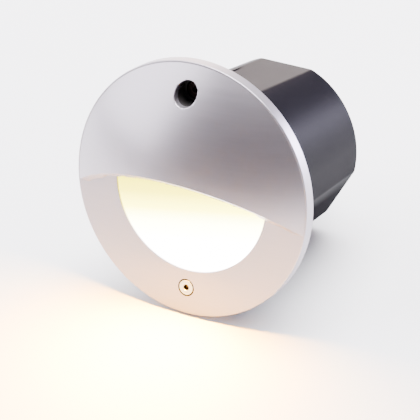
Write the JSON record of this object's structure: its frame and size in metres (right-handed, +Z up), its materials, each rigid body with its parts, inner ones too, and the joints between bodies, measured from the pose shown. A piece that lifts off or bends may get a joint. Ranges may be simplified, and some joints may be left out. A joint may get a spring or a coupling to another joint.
{
  "type": "recessed wall light",
  "caption": "Round recessed wall light: silver-grey cast cover with an eyelid hood over a flush opal diffuser, on a black drafted housing with a cable gland.",
  "frame": {"origin": "centre of the wall plane, on the axis of the round cover, midway between the two wall fixing holes", "axes": "+Y into the wall, along the axis of the housing; +X to the right of a viewer who faces the light; +Z up"},
  "size_m": [0.12, 0.1238, 0.12],
  "materials": {
    "recess_housing": "black moulded plastic, satin",
    "threaded_inserts": "machined brass",
    "cover_gasket": "black rubber",
    "front_cover": "silver-grey powder coat, satin, on cast aluminium",
    "diffuser_gasket": "pale silicone rubber",
    "diffuser": "opal plastic",
    "diffuser_snap_ring": "white plastic",
    "cover_screw_top": "stainless steel",
    "cover_screw_bottom": "stainless steel",
    "screw_washer_top": "black rubber",
    "screw_washer_bottom": "black rubber",
    "reflector": "white plastic",
    "led_board": "white lacquer on aluminium",
    "leds": "yellow phosphor",
    "led_board_screws": "zinc-plated steel",
    "heat_sink": "plain aluminium",
    "heat_sink_screws": "zinc-plated steel",
    "driver_case": "white plastic",
    "driver_lid": "white plastic",
    "driver_board": "green solder mask",
    "driver_transformer": "yellow tape on a ferrite core",
    "driver_capacitors": "dark sleeve",
    "driver_screws": "zinc-plated steel",
    "terminal_block": "cream plastic",
    "terminal_bars": "brass",
    "terminal_block_screws": "zinc-plated steel",
    "terminal_cage_live": "brass",
    "terminal_screw_live": "zinc-plated steel",
    "terminal_cage_neutral": "brass",
    "terminal_screw_neutral": "zinc-plated steel",
    "terminal_cage_earth": "brass",
    "terminal_screw_earth": "zinc-plated steel",
    "lead_live": "brown insulation",
    "lead_neutral": "blue insulation",
    "lead_earth": "green and yellow insulation",
    "earth_tag": "tinned copper",
    "earth_screw": "zinc-plated steel",
    "led_lead_plus": "red insulation",
    "led_lead_minus": "black insulation",
    "gland_body": "black plastic",
    "gland_washer": "black rubber",
    "gland_lock_nut": "black plastic",
    "gland_seal": "black rubber",
    "gland_slip_ring": "pale plastic",
    "gland_nut": "black plastic"
  },
  "bodies": {
    "housing": {"recess_housing": "recess_housing", "threaded_inserts": "threaded_inserts", "reflector": "reflector", "led_board": "led_board", "leds": "leds", "led_board_screws": "led_board_screws", "heat_sink": "heat_sink", "heat_sink_screws": "heat_sink_screws", "driver_case": "driver_case", "driver_lid": "driver_lid", "driver_board": "driver_board", "driver_transformer": "driver_transformer", "driver_capacitors": "driver_capacitors", "driver_screws": "driver_screws", "terminal_block": "terminal_block", "terminal_bars": "terminal_bars", "terminal_block_screws": "terminal_block_screws", "lead_live": "lead_live", "lead_neutral": "lead_neutral", "lead_earth": "lead_earth", "earth_tag": "earth_tag", "earth_screw": "earth_screw", "led_lead_plus": "led_lead_plus", "led_lead_minus": "led_lead_minus", "gland_body": "gland_body", "gland_washer": "gland_washer", "gland_lock_nut": "gland_lock_nut", "gland_seal": "gland_seal"},
    "cover": {"front_cover": "front_cover", "cover_gasket": "cover_gasket", "diffuser_gasket": "diffuser_gasket", "diffuser": "diffuser", "diffuser_snap_ring": "diffuser_snap_ring"},
    "top screw washer": {"screw_washer_top": "screw_washer_top"},
    "top cover screw": {"cover_screw_top": "cover_screw_top"},
    "bottom screw washer": {"screw_washer_bottom": "screw_washer_bottom"},
    "bottom cover screw": {"cover_screw_bottom": "cover_screw_bottom"},
    "gland slip ring": {"gland_slip_ring": "gland_slip_ring"},
    "gland cap nut": {"gland_nut": "gland_nut"},
    "live terminal cage": {"terminal_cage_live": "terminal_cage_live"},
    "live terminal screw": {"terminal_screw_live": "terminal_screw_live"},
    "neutral terminal cage": {"terminal_cage_neutral": "terminal_cage_neutral"},
    "neutral terminal screw": {"terminal_screw_neutral": "terminal_screw_neutral"},
    "earth terminal cage": {"terminal_cage_earth": "terminal_cage_earth"},
    "earth terminal screw": {"terminal_screw_earth": "terminal_screw_earth"}
  },
  "joints": [
    {"name": "cover_pull", "type": "slide", "parent": "housing", "child": "cover", "axis": [0, -1, 0], "range_m": [0, 0.04]},
    {"name": "top_screw_travel", "type": "slide", "parent": "cover", "child": "top screw washer", "axis": [0, -1, 0], "range_m": [0, 0.008]},
    {"name": "top_screw_turn", "type": "hinge", "parent": "top screw washer", "child": "top cover screw", "pos_m": [0, -0.0058, 0.0475], "axis": [0, -1, 0], "range_deg": [0, 4140]},
    {"name": "bottom_screw_travel", "type": "slide", "parent": "cover", "child": "bottom screw washer", "axis": [0, -1, 0], "range_m": [0, 0.008]},
    {"name": "bottom_screw_turn", "type": "hinge", "parent": "bottom screw washer", "child": "bottom cover screw", "pos_m": [0, -0.0058, -0.0475], "axis": [0, -1, 0], "range_deg": [0, 4140]},
    {"name": "gland_travel", "type": "slide", "parent": "housing", "child": "gland slip ring", "axis": [0, 1, 0], "range_m": [0, 0.0052]},
    {"name": "gland_nut_turn", "type": "hinge", "parent": "gland slip ring", "child": "gland cap nut", "pos_m": [0, 0.09, 0], "axis": [0, 1, 0], "range_deg": [0, 1260]},
    {"name": "live_cage_travel", "type": "slide", "parent": "housing", "child": "live terminal cage", "axis": [0, -1, 0], "range_m": [0, 0.0024]},
    {"name": "live_screw_turn", "type": "hinge", "parent": "housing", "child": "live terminal screw", "pos_m": [-0.008, 0.05, -0.013], "axis": [0, 1, 0], "range_deg": [0, 1740]},
    {"name": "neutral_cage_travel", "type": "slide", "parent": "housing", "child": "neutral terminal cage", "axis": [0, -1, 0], "range_m": [0, 0.0024]},
    {"name": "neutral_screw_turn", "type": "hinge", "parent": "housing", "child": "neutral terminal screw", "pos_m": [0, 0.05, -0.013], "axis": [0, 1, 0], "range_deg": [0, 1740]},
    {"name": "earth_cage_travel", "type": "slide", "parent": "housing", "child": "earth terminal cage", "axis": [0, -1, 0], "range_m": [0, 0.0024]},
    {"name": "earth_screw_turn", "type": "hinge", "parent": "housing", "child": "earth terminal screw", "pos_m": [0.008, 0.05, -0.013], "axis": [0, 1, 0], "range_deg": [0, 1740]}
  ],
  "couplings": [
    {"joint": "top_screw_turn", "follows": "top_screw_travel", "rad_per_m": 8976},
    {"joint": "bottom_screw_turn", "follows": "bottom_screw_travel", "rad_per_m": 8976},
    {"joint": "gland_nut_turn", "follows": "gland_travel", "rad_per_m": 4188.8},
    {"joint": "live_screw_turn", "follows": "live_cage_travel", "rad_per_m": 12566},
    {"joint": "neutral_screw_turn", "follows": "neutral_cage_travel", "rad_per_m": 12566},
    {"joint": "earth_screw_turn", "follows": "earth_cage_travel", "rad_per_m": 12566}
  ]
}
